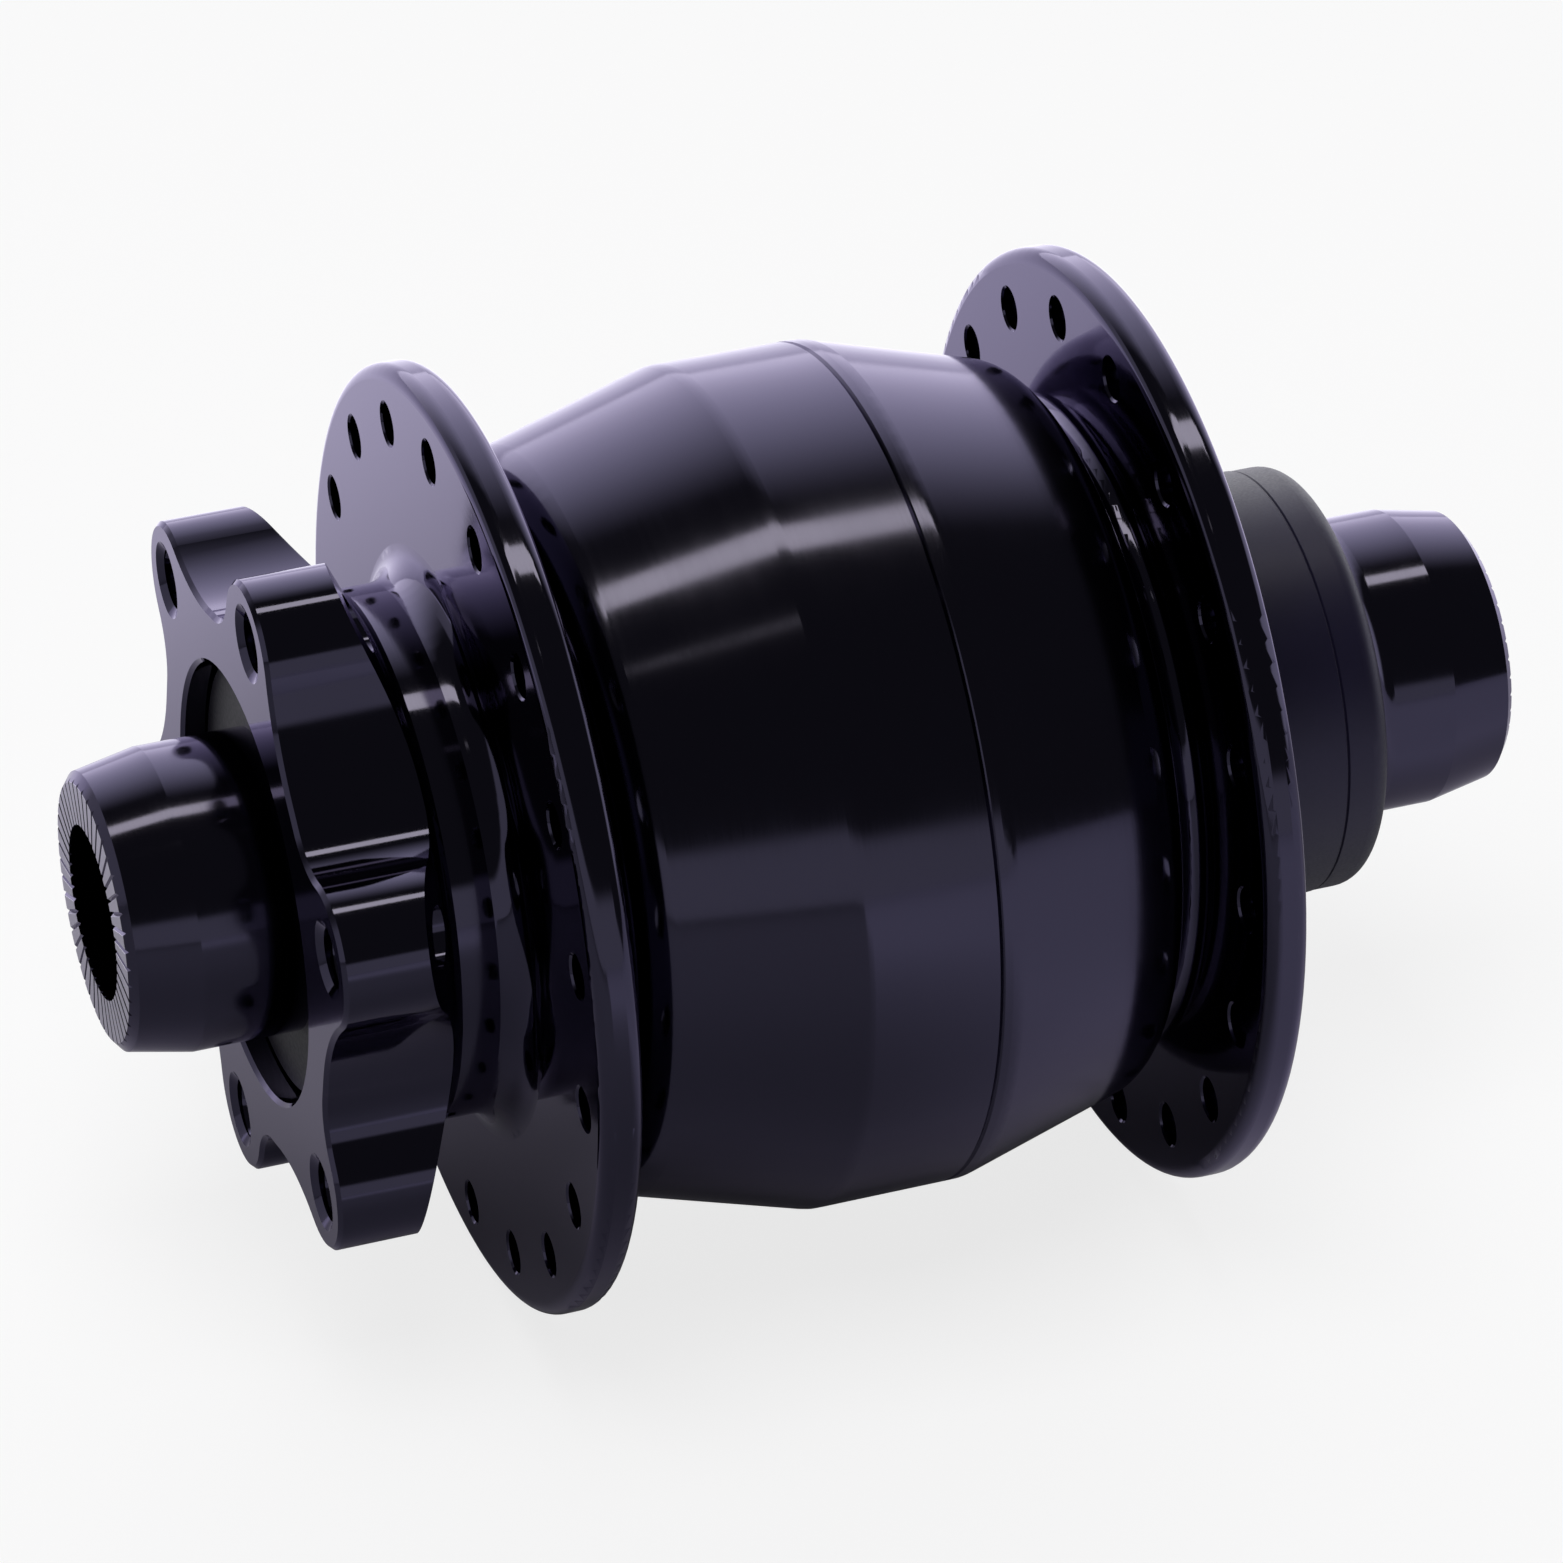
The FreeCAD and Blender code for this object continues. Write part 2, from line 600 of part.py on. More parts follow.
class Bearing:
    """A sealed deep-groove ball bearing between a bore radius and an outer radius."""

    def __init__(self, bore_r, outer_r, ball_r, balls, y_from):
        self.bore_r = bore_r
        self.outer_r = outer_r
        self.ball_r = ball_r
        self.balls = balls
        self.y_from = y_from
        self.y_to = y_from + BEARING_WIDTH
        self.middle_y = y_from + BEARING_WIDTH / 2
        self.pitch_r = (bore_r + outer_r) / 2
        self.inner_land_r = self.pitch_r - ball_r * LAND_PER_BALL_R
        self.outer_land_r = self.pitch_r + ball_r * LAND_PER_BALL_R
        self.groove_r = ball_r * GROOVE_PER_BALL_R

    def groove(self, centre_r):
        return Part.makeTorus(centre_r, self.groove_r, V(0, self.middle_y, 0), HUB_AXIS)

    def inner_race(self):
        ring = tube(self.bore_r, self.inner_land_r, self.y_from, self.y_to)
        floor_r = self.pitch_r - self.ball_r - BALL_CLEARANCE
        return ring.cut(self.groove(floor_r + self.groove_r))

    def outer_race(self):
        ring = tube(self.outer_land_r, self.outer_r, self.y_from, self.y_to)
        floor_r = self.pitch_r + self.ball_r + BALL_CLEARANCE
        return ring.cut(self.groove(floor_r - self.groove_r))

    def ball_set(self):
        ball = Part.makeSphere(self.ball_r, V(0, self.middle_y, self.pitch_r))
        return ring_of(ball, self.balls)

    def cage(self):
        reach = self.ball_r + CAGE_OVERHANG
        ring = tube(
            self.pitch_r - CAGE_THICKNESS / 2,
            self.pitch_r + CAGE_THICKNESS / 2,
            self.middle_y - reach,
            self.middle_y + reach,
        )
        pocket = Part.makeSphere(self.ball_r + POCKET_CLEARANCE, V(0, self.middle_y, self.pitch_r))
        return ring.cut(Part.makeCompound(ring_of(pocket, self.balls)))

    def seals(self):
        """One flat seal at each side, fixed in the outer race."""
        lip_r = self.inner_land_r + SEAL_LIP_CLEARANCE
        first_y = self.y_from + BEARING_SEAL_INSET
        second_y = self.y_to - BEARING_SEAL_INSET - BEARING_SEAL_THICKNESS
        return [
            tube(lip_r, self.outer_land_r, y, y + BEARING_SEAL_THICKNESS) for y in (first_y, second_y)
        ]


def circlip(groove_r, y_from):
    """An inside circlip: an open band with two eared ends."""
    band_in_r = groove_r - CIRCLIP_BAND
    y_to = y_from + CIRCLIP_THICKNESS
    half_gap = CIRCLIP_GAP_ANGLE / 2
    clip = turned(
        [(band_in_r, y_from), (groove_r, y_from), (groove_r, y_to), (band_in_r, y_to)],
        360 - CIRCLIP_GAP_ANGLE,
    )
    clip.rotate(ORIGIN, HUB_AXIS, half_gap - 90)
    ear_r = band_in_r - CIRCLIP_EAR_OVERLAP
    for angle in (-half_gap - CIRCLIP_EAR_ANGLE, half_gap + CIRCLIP_EAR_ANGLE):
        centre = around(ear_r, angle, y_from)
        ear = Part.makeCylinder(CIRCLIP_EAR_R, CIRCLIP_THICKNESS, centre, HUB_AXIS)
        hole = Part.makeCylinder(CIRCLIP_EAR_HOLE_R, CIRCLIP_THICKNESS, centre, HUB_AXIS)
        clip = clip.fuse(ear).cut(hole)
    return clip


def claw_plate(side):
    """A pressed steel plate whose claws reach across the coil towards the other plate."""
    arm = block(
        -CLAW_ARM_WIDTH / 2,
        CLAW_ARM_WIDTH / 2,
        plate_in_y,
        plate_out_y,
        plate_r - CUT_MARGIN,
        claw_r + CUT_MARGIN,
    )
    arm = arm.common(tube(plate_r - CUT_MARGIN, claw_r, plate_in_y, plate_out_y))
    tip_y = CLAW_TIP_GAP - plate_in_y
    start_z = claw_in_r - CUT_MARGIN
    outline = [
        V(-CLAW_ROOT_WIDTH / 2, plate_out_y, start_z),
        V(CLAW_ROOT_WIDTH / 2, plate_out_y, start_z),
        V(CLAW_TIP_WIDTH / 2, tip_y, start_z),
        V(-CLAW_TIP_WIDTH / 2, tip_y, start_z),
    ]
    wedge = Part.Face(Part.makePolygon(outline + outline[:1]))
    claw = wedge.extrude(V(0, 0, claw_r + CUT_MARGIN - start_z))
    claw = claw.common(tube(claw_in_r, claw_r, tip_y, plate_out_y))
    plate = tube(AXLE_R, plate_r, plate_in_y, plate_out_y)
    plate = plate.multiFuse(ring_of(arm.fuse(claw), POLE_COUNT // 2)).removeSplitter()
    if side < 0:
        plate = plate.mirror(ORIGIN, HUB_AXIS)
        plate.rotate(ORIGIN, HUB_AXIS, 360.0 / POLE_COUNT)
        plate = plate.cut(lead_passage(-plate_out_y, -plate_in_y))
    return plate


def lead_passage(y_from, y_to):
    """Round holes along the hub axis where the two leads leave the coil."""
    holes = []
    for z in (-blade_z, blade_z):
        start = V(lead_start_x, y_from, z)
        holes.append(Part.makeCylinder(LEAD_R + LEAD_HOLE_CLEARANCE, y_to - y_from, start, HUB_AXIS))
    return Part.makeCompound(holes)


def coil_bobbin():
    bobbin = turned([
        (core_r, -plate_in_y),
        (bobbin_r, -plate_in_y),
        (bobbin_r, -bobbin_in_y),
        (spool_r, -bobbin_in_y),
        (spool_r, bobbin_in_y),
        (bobbin_r, bobbin_in_y),
        (bobbin_r, plate_in_y),
        (core_r, plate_in_y),
    ])
    return bobbin.cut(lead_passage(-plate_in_y, -bobbin_in_y))


def rotor_magnets():
    """One bonded magnet for each pole, on the inside of the yoke ring."""
    arc = 360.0 / POLE_COUNT - MAGNET_GAP_ANGLE
    magnet = turned(
        [
            (magnet_in_r, -plate_out_y),
            (magnet_r, -plate_out_y),
            (magnet_r, plate_out_y),
            (magnet_in_r, plate_out_y),
        ],
        arc,
    )
    return ring_of(magnet, POLE_COUNT, -arc / 2)


def stator_washer():
    outer_r = AXLE_R + STATOR_NUT_WALL + STATOR_WASHER_RIM
    return tube(AXLE_R, outer_r, plate_out_y, washer_out_y)


def stator_nut():
    """Hexagon nut that clamps the stator pack against the axle's collar."""
    corner_angle = 360.0 / NUT_SIDES
    corner_r = (AXLE_R + STATOR_NUT_WALL) / math.cos(math.radians(corner_angle / 2))
    corners = [around(corner_r, corner_angle * k, washer_out_y) for k in range(NUT_SIDES + 1)]
    prism = Part.Face(Part.makePolygon(corners)).extrude(V(0, STATOR_NUT_THICKNESS, 0))
    return prism.cut(Part.makeCylinder(AXLE_R, STATOR_NUT_THICKNESS, V(0, washer_out_y, 0), HUB_AXIS))


def terminal_housing():
    """Plastic ring that stands still beside the spinning flange and holds the plug socket."""
    ring = turned([
        (AXLE_R, right_bearing_out_y),
        (abutment_r, right_bearing_out_y),
        (abutment_r, housing_in_y),
        (HOUSING_R, housing_in_y),
        (HOUSING_R, housing_out_y + PLASTIC_SEAM_CHAMFER),
        (HOUSING_R - PLASTIC_SEAM_CHAMFER, housing_out_y),
        (AXLE_R, housing_out_y),
    ])
    pocket = block(
        socket_x,
        HOUSING_R + CUT_MARGIN,
        socket_y - socket_half_y - SOCKET_FIT,
        socket_y + socket_half_y + SOCKET_FIT,
        -socket_half_z - SOCKET_FIT,
        socket_half_z + SOCKET_FIT,
    )
    ring = ring.cut(pocket)
    for z in (-blade_z, blade_z):
        passage = Part.makeCylinder(LEAD_R + LEAD_CLEARANCE, socket_x, V(0, socket_y, z), V(1, 0, 0))
        ring = ring.cut(passage)
    return ring


def terminal_cover():
    """Narrow plastic ring with a rounded outer edge, clamped by the foot of the right cap."""
    cover_r = HOUSING_R - COVER_STEP
    return turned([
        (AXLE_R, housing_out_y),
        (cover_r - PLASTIC_SEAM_CHAMFER, housing_out_y),
        (cover_r, housing_out_y - PLASTIC_SEAM_CHAMFER),
        (cover_r, right_foot_y, COVER_ROUND),
        (AXLE_R, right_foot_y),
    ])


def terminal_socket():
    """Open plastic box around the two blades, pushed into the housing's pocket."""
    box = block(
        socket_x,
        socket_mouth_x,
        socket_y - socket_half_y,
        socket_y + socket_half_y,
        -socket_half_z,
        socket_half_z,
    )
    long_edges = [e for e in box.Edges if e.BoundBox.XLength > SOCKET_FLOOR]
    box = box.makeFillet(SOCKET_ROUND, long_edges)
    cavity = block(
        socket_x + SOCKET_FLOOR,
        socket_mouth_x + CUT_MARGIN,
        socket_y - socket_half_y + SOCKET_WALL,
        socket_y + socket_half_y - SOCKET_WALL,
        SOCKET_WALL - socket_half_z,
        socket_half_z - SOCKET_WALL,
    )
    return box.cut(cavity).cut(Part.makeCompound(blade_strips()))


def blade_strips():
    """Plain strips where the two blades stand."""
    strips = []
    for z in (-blade_z, blade_z):
        strips.append(block(
            socket_x,
            blade_tip_x,
            socket_y - BLADE_WIDTH / 2,
            socket_y + BLADE_WIDTH / 2,
            z - BLADE_THICKNESS / 2,
            z + BLADE_THICKNESS / 2,
        ))
    return strips


def terminal_blades():
    """Flat tab contacts with a latch hole and a bevelled tip."""
    blades = []
    for strip in blade_strips():
        hole_start = V(blade_tip_x - BLADE_HOLE_FROM_TIP, socket_y, strip.BoundBox.ZMin)
        hole = Part.makeCylinder(BLADE_HOLE_R, BLADE_THICKNESS, hole_start)
        tip_edges = [e for e in strip.Edges if blade_tip_x - e.BoundBox.XMin < BLADE_TIP_CHAMFER]
        blades.append(strip.makeChamfer(BLADE_TIP_CHAMFER, tip_edges).cut(hole))
    return blades


def coil_leads():
    """Two insulated wires: out of the coil, down into the axle's grooves and out to the blades."""
    leads = []
    for z in (-blade_z, blade_z):
        route = [
            (V(lead_start_x, -bobbin_in_y, z), 0),
            (V(lead_start_x, lead_turn_y, z), LEAD_BEND),
            (V(lead_x, lead_turn_y, z), LEAD_BEND),
            (V(lead_x, socket_y, z), LEAD_BEND),
            (V(socket_x, socket_y, z), 0),
        ]
        path = Part.Wire(rounded_edges(route, False))
        section = Part.Wire([Part.makeCircle(LEAD_R, route[0][0], HUB_AXIS)])
        leads.append(path.makePipeShell([section], True, False))
    return leads


def main():
    os.makedirs("parts", exist_ok=True)

    left_bearing = Bearing(
        LEFT_BEARING_BORE_R, LEFT_BEARING_R, LEFT_BALL_R, LEFT_BALL_COUNT, left_bearing_in_y
    )
    right_bearing = Bearing(
        AXLE_R, RIGHT_BEARING_R, RIGHT_BALL_R, RIGHT_BALL_COUNT, right_bearing_out_y
    )
    sleeve_r = left_bearing.inner_land_r

    # What spins with the wheel
    save("left_shell", left_shell())
    save("right_shell", right_shell())
    save("shell_seal_ring", shell_seal_ring())
    save("magnet_yoke", tube(magnet_r, yoke_r, -yoke_end_y, yoke_end_y))
    save("rotor_magnets", *rotor_magnets())
    save("left_bearing_outer_race", left_bearing.outer_race())
    save("left_bearing_seals", *left_bearing.seals())
    save("left_bearing_circlip", circlip(LEFT_BEARING_R + CIRCLIP_GROOVE_DEPTH, left_bearing_out_y))
    save("right_bearing_outer_race", right_bearing.outer_race())
    save("right_bearing_seals", *right_bearing.seals())
    save("right_bearing_circlip", circlip(RIGHT_BEARING_R + CIRCLIP_GROOVE_DEPTH, right_bearing_in_y))
    save(
        "right_dust_seal",
        tube(abutment_r + SEAL_LIP_CLEARANCE, right_lip_r, -flange_out_y, right_bearing_out_y),
    )

    # What rolls between the races
    save("left_bearing_balls", *left_bearing.ball_set())
    save("left_bearing_cage", left_bearing.cage())
    save("right_bearing_balls", *right_bearing.ball_set())
    save("right_bearing_cage", right_bearing.cage())

    # What stands still with the axle
    save("hollow_axle", hollow_axle())
    save("left_bearing_inner_race", left_bearing.inner_race())
    save("right_bearing_inner_race", right_bearing.inner_race())
    save("left_end_cap", end_cap(1, [
        (CAP_R, left_foot_y),
        (sleeve_r, left_foot_y),
        (sleeve_r, left_bearing_out_y),
        (AXLE_THREAD_R, left_bearing_out_y),
    ]))
    save("right_end_cap", end_cap(-1, [
        (CAP_R, CAP_FOOT_RIM - right_foot_y, CAP_FOOT_FLARE),
        (CAP_R + CAP_FOOT_STEP, CAP_FOOT_RIM - right_foot_y),
        (CAP_R + CAP_FOOT_STEP, -right_foot_y),
        (AXLE_THREAD_R, -right_foot_y),
    ]))
    save("end_cap_o_rings", *end_cap_o_rings())
    save("left_dust_shield", tube(sleeve_r, recess_r - SHIELD_RADIAL_GAP, shield_in_y, left_foot_y))
    save("stator_core", tube(AXLE_R, core_r, -plate_in_y, plate_in_y))
    save("left_claw_plate", claw_plate(1))
    save("right_claw_plate", claw_plate(-1))
    save("coil_bobbin", coil_bobbin())
    save("coil_winding", tube(spool_r, bobbin_r - WINDING_MARGIN, -bobbin_in_y, bobbin_in_y))
    save("stator_washer", stator_washer())
    save("stator_nut", stator_nut())
    save("terminal_housing", terminal_housing())
    save("terminal_cover", terminal_cover())
    save("terminal_socket", terminal_socket())
    save("terminal_blades", *terminal_blades())
    save("coil_leads", *coil_leads())


main()
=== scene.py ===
# %% [markdown]
# # A dynamo front hub in black anodised aluminium
#
# The hub is made of turned, gloss black metal, satin plastic rings and bare metal end faces. Its
# shape is finished in the CAD frame, so this script gives every piece its surface, adds the screw
# threads that the frame leaves plain, and sets up a small studio around it.
#
# One unit is one metre, the hub's axis is Y and the disc side is +Y.

# %% Load the frame
import json
import math

import bpy
from mathutils import Matrix, Vector


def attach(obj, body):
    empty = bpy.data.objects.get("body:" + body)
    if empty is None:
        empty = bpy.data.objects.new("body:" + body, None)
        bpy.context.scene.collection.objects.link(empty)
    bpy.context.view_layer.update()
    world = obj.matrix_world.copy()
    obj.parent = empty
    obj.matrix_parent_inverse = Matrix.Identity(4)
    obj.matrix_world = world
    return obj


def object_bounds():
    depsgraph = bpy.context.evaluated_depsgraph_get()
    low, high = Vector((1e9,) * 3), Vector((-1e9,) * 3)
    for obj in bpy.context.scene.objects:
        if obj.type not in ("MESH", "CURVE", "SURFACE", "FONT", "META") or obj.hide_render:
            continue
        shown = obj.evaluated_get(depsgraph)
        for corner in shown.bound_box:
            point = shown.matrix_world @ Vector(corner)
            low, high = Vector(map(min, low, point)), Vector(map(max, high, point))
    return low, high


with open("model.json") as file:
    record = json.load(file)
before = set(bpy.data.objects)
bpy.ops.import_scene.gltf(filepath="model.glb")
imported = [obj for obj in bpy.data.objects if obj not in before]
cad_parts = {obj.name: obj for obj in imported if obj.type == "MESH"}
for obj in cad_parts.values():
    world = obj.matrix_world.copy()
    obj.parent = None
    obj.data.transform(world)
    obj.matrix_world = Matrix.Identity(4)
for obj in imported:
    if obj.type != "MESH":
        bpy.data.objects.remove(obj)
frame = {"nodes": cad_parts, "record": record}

MM = 0.001
cad_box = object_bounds()
bpy.ops.object.select_all(action="DESELECT")

# %% [markdown]
# ## Camera
#
# The photograph is taken with a long lens from above the disc side's shoulder. A camera can be
# placed by hand or solved: here the six bolt holes, the flanges and the end faces were matched to
# the picture, which gave one direction, one distance and one focal length.

# %% Camera
CAMERA_AZIMUTH = math.radians(-109.369)
CAMERA_ELEVATION = math.radians(34.115)
CAMERA_DISTANCE = 0.5357
CAMERA_TARGET = Vector((0.00005, 0.00089, -0.0004))
FOCAL_LENGTH = 178.77
SENSOR_WIDTH = 36.0
CLIP_START = 0.01


def make_camera():
    back = Vector((
        math.sin(CAMERA_AZIMUTH) * math.cos(CAMERA_ELEVATION),
        -math.cos(CAMERA_AZIMUTH) * math.cos(CAMERA_ELEVATION),
        math.sin(CAMERA_ELEVATION),
    ))
    data = bpy.data.cameras.new("photo_camera")
    data.lens = FOCAL_LENGTH
    data.sensor_width = SENSOR_WIDTH
    data.clip_start = CLIP_START
    camera = bpy.data.objects.new("photo_camera", data)
    camera.location = CAMERA_TARGET + back * CAMERA_DISTANCE
    camera.rotation_mode = "QUATERNION"
    camera.rotation_quaternion = (-back).to_track_quat("-Z", "Y")
    bpy.context.scene.collection.objects.link(camera)
    return camera


bpy.context.scene.camera = make_camera()
print("camera at", [round(c, 4) for c in bpy.context.scene.camera.location])

# %% [markdown]
# ## Small helpers for node materials
#
# A material is a graph of nodes. Writing each graph out in full is long, so a few short helpers
# add a node, join two sockets, do one step of arithmetic and spread a noise about a middle value.
# They work on the world's nodes as well. The finishes are driven by Object coordinates, which stay
# with the piece when it turns.

# %% Helpers for node materials
NOISE_MIDDLE = 0.5
NOISE_SWING = 0.2


def new_material(name):
    material = bpy.data.materials.new(name)
    material.use_nodes = True
    return material


def add_node(material, kind, **settings):
    node = material.node_tree.nodes.new(kind)
    for key, value in settings.items():
        setattr(node, key, value)
    return node


def join(material, source, target):
    material.node_tree.links.new(source, target)


def math_step(material, operation, first, second=None, third=None):
    """One arithmetic node; each input is a number or another node's socket."""
    node = add_node(material, "ShaderNodeMath", operation=operation)
    for index, value in enumerate((first, second, third)):
        if isinstance(value, (int, float)):
            node.inputs[index].default_value = value
        elif value is not None:
            join(material, value, node.inputs[index])
    return node.outputs[0]


def map_range(material, value, low, high, to_low, to_high):
    node = add_node(material, "ShaderNodeMapRange", interpolation_type="SMOOTHSTEP")
    join(material, value, node.inputs["Value"])
    limits = {"From Min": low, "From Max": high, "To Min": to_low, "To Max": to_high}
    for name, number in limits.items():
        node.inputs[name].default_value = number
    return node.outputs["Result"]


def vary(material, noise, middle, swing, noise_swing=NOISE_SWING):
    """Noise spread about a middle value, by swing to each side."""
    low, high = NOISE_MIDDLE - noise_swing, NOISE_MIDDLE + noise_swing
    return map_range(material, noise, low, high, middle - swing, middle + swing)


# %% [markdown]
# ## Where on the hub a point lies
#
# Every large piece is turned on a lathe, so its marks run round the hub's axis. Two numbers then
# say all that a finish needs: how far along the axis a point is, and how far from the axis. Both
# are in millimetres, and so are the lengths in the finishes below.

# %% Hub coordinates
LINE_DETAIL = 3.0
CLOUD_DETAIL = 2.0


def hub_place(material):
    """Millimetres along the hub's axis and away from it, as sockets."""
    coordinates = add_node(material, "ShaderNodeTexCoord")
    split = add_node(material, "ShaderNodeSeparateXYZ")
    join(material, coordinates.outputs["Object"], split.inputs[0])
    x, y, z = split.outputs
    across = math_step(material, "MULTIPLY_ADD", x, x, math_step(material, "MULTIPLY", z, z))
    radius = math_step(material, "MULTIPLY", math_step(material, "SQRT", across), 1 / MM)
    along = math_step(material, "MULTIPLY", y, 1 / MM)
    return along, radius


def object_noise(material, scale, detail=CLOUD_DETAIL):
    """Cloudy noise in object space; scale is in cells per metre."""
    coordinates = add_node(material, "ShaderNodeTexCoord")
    noise = add_node(material, "ShaderNodeTexNoise")
    noise.inputs["Scale"].default_value = scale
    noise.inputs["Detail"].default_value = detail
    join(material, coordinates.outputs["Object"], noise.inputs["Vector"])
    return noise.outputs["Fac"]


def lathe_lines(material, along, radius, per_mm):
    """Noise that is the same all the way round: the fine rings that a turning tool leaves."""
    vector = add_node(material, "ShaderNodeCombineXYZ")
    join(material, along, vector.inputs[0])
    join(material, radius, vector.inputs[1])
    noise = add_node(material, "ShaderNodeTexNoise", noise_dimensions="2D")
    noise.inputs["Scale"].default_value = per_mm
    noise.inputs["Detail"].default_value = LINE_DETAIL
    join(material, vector.outputs[0], noise.inputs["Vector"])
    return noise.outputs["Fac"]


def bump(material, height, depth_mm):
    node = add_node(material, "ShaderNodeBump")
    node.inputs["Strength"].default_value = 1.0
    node.inputs["Distance"].default_value = depth_mm * MM
    join(material, height, node.inputs["Height"])
    return node.outputs["Normal"]


# %% [markdown]
# ## Black anodising
#
# Anodised aluminium is metal under a thin dyed oxide layer. It has almost no colour of its own and
# shows mainly what it mirrors, with a faint violet cast. A metallic shader with a very dark colour
# behaves in this way: it mirrors little head-on and a lot at a grazing angle. The barrel between
# the flanges was left satin by the lathe, while flanges, neck and lugs are polished, so the
# roughness changes with the place along the axis and the distance from it.

# %% Black anodising
ANODISED_COLOUR = (0.041, 0.038, 0.064, 1.0)
ANODISED_EDGE_TINT = (0.89, 0.85, 1.0, 1.0)
BARREL_END_FROM = 18.9
BARREL_END_TO = 19.4
BARREL_RADIUS_FROM = 22.2
BARREL_RADIUS_TO = 22.5
SATIN = 0.13
POLISHED = 0.08
CLOUDS = 150.0
CLOUD_SWING = 0.015
LINE_SWING = 0.15
SHELL_LINES_PER_MM = 9.0
SHELL_STREAK = 0.012
SHELL_LINE_DEPTH = 0.0003

finishes = {}


def keep_finish(slot, material):
    """The finish goes under its slot's name, for the loop that dresses the nodes."""
    finishes[slot] = material
    print(material.name, "has", len(material.node_tree.nodes), "nodes")


def surface(material):
    """The material's own shader, which every finish here sets."""
    return material.node_tree.nodes["Principled BSDF"]


def anodised(name, polished):
    """The dark mirror finish itself, with its axis, radius and roughness sockets."""
    material = new_material(name)
    shader = surface(material)
    shader.inputs["Base Color"].default_value = ANODISED_COLOUR
    shader.inputs["Metallic"].default_value = 1.0
    shader.inputs["Specular Tint"].default_value = ANODISED_EDGE_TINT
    along, radius = hub_place(material)
    rough = vary(material, object_noise(material, CLOUDS), polished, CLOUD_SWING)
    return material, along, radius, rough


def shell_finish():
    """Satin on the barrel and polished elsewhere, with fine lines from the lathe."""
    material, along, radius, rough = anodised("black_shell_finish", POLISHED)
    from_middle = math_step(material, "ABSOLUTE", along)
    on_barrel = math_step(
        material,
        "MULTIPLY",
        map_range(material, from_middle, BARREL_END_FROM, BARREL_END_TO, 1.0, 0.0),
        map_range(material, radius, BARREL_RADIUS_FROM, BARREL_RADIUS_TO, 0.0, 1.0),
    )
    lines = lathe_lines(material, along, radius, SHELL_LINES_PER_MM)
    satin = math_step(material, "MULTIPLY_ADD", on_barrel, SATIN - POLISHED, rough)
    streak = vary(material, lines, 0.0, SHELL_STREAK, LINE_SWING)
    join(material, math_step(material, "ADD", satin, streak), surface(material).inputs["Roughness"])
    join(material, bump(material, lines, SHELL_LINE_DEPTH), surface(material).inputs["Normal"])
    return material


keep_finish("black_shell", shell_finish())

# %% [markdown]
# ## End caps
#
# The caps have the same anodising, but their end faces were cut after it, so the lands between the
# serrations are bare pale metal. The lands all lie in one plane, so a test of the place along the
# axis is enough to tell them from the black grooves.

# %% End cap finish
BARE_METAL = (0.56, 0.55, 0.60, 1.0)
LAND_DEPTH = 0.02
LAND_EXTRA_ROUGHNESS = 0.25
CAP_POLISH = 0.11
CAP_LINES_PER_MM = 7.0
CAP_STREAK = 0.01
CAP_LINE_DEPTH = 0.0002
MIX_COLOUR_INPUTS = (6, 7)
MIX_COLOUR_OUTPUT = 2


def mix_colour(material, factor, first, second):
    """The first colour where the factor is 0, and the second where it is 1."""
    node = add_node(material, "ShaderNodeMix", data_type="RGBA")
    join(material, factor, node.inputs["Factor"])
    for index, colour in zip(MIX_COLOUR_INPUTS, (first, second)):
        node.inputs[index].default_value = colour
    return node.outputs[MIX_COLOUR_OUTPUT]


def cap_finish():
    """Anodised all over but for the bare lands of the end face."""
    material, along, radius, rough = anodised("black_cap_finish", CAP_POLISH)
    half_span = cad_box[1].y / MM
    from_middle = math_step(material, "ABSOLUTE", along)
    land_from, land_to = half_span - LAND_DEPTH, half_span - LAND_DEPTH / 2
    land = map_range(material, from_middle, land_from, land_to, 0.0, 1.0)
    colour = mix_colour(material, land, ANODISED_COLOUR, BARE_METAL)
    join(material, colour, surface(material).inputs["Base Color"])
    lines = lathe_lines(material, along, radius, CAP_LINES_PER_MM)
    streak = vary(material, lines, 0.0, CAP_STREAK, LINE_SWING)
    bare = math_step(material, "MULTIPLY_ADD", land, LAND_EXTRA_ROUGHNESS, rough)
    join(material, math_step(material, "ADD", bare, streak), surface(material).inputs["Roughness"])
    join(material, bump(material, lines, CAP_LINE_DEPTH), surface(material).inputs["Normal"])
    return material


keep_finish("black_cap", cap_finish())

# %% [markdown]
# ## Moulded plastic and rubber
#
# The terminal housing, its cover and the plug socket are moulded in black plastic with a fine
# satin grain. Rubber seals are darker and duller, and the bearing cages, the coil's bobbin and the
# jackets of its leads are paler or coloured. All are plain dielectrics. The grain could come from
# a picture, but that needs a UV map, so a noise in object space gives it, as a small change of
# roughness and a bump of a few thousandths of a millimetre.

# %% Moulded plastic and rubber
WHITE = (1.0, 1.0, 1.0, 1.0)
PATCH_SHADE = 0.8
PATCH_MIDDLE = 0.5
PATCH_SWING = 0.5
GRAIN_SWING = 0.04
GRAIN_DETAIL = 3.0
PLAIN_SHEEN = 0.5


def shaded(colour, share):
    """A share of the colour's brightness, with its alpha kept."""
    return tuple(c * share for c in colour[:3]) + colour[3:]


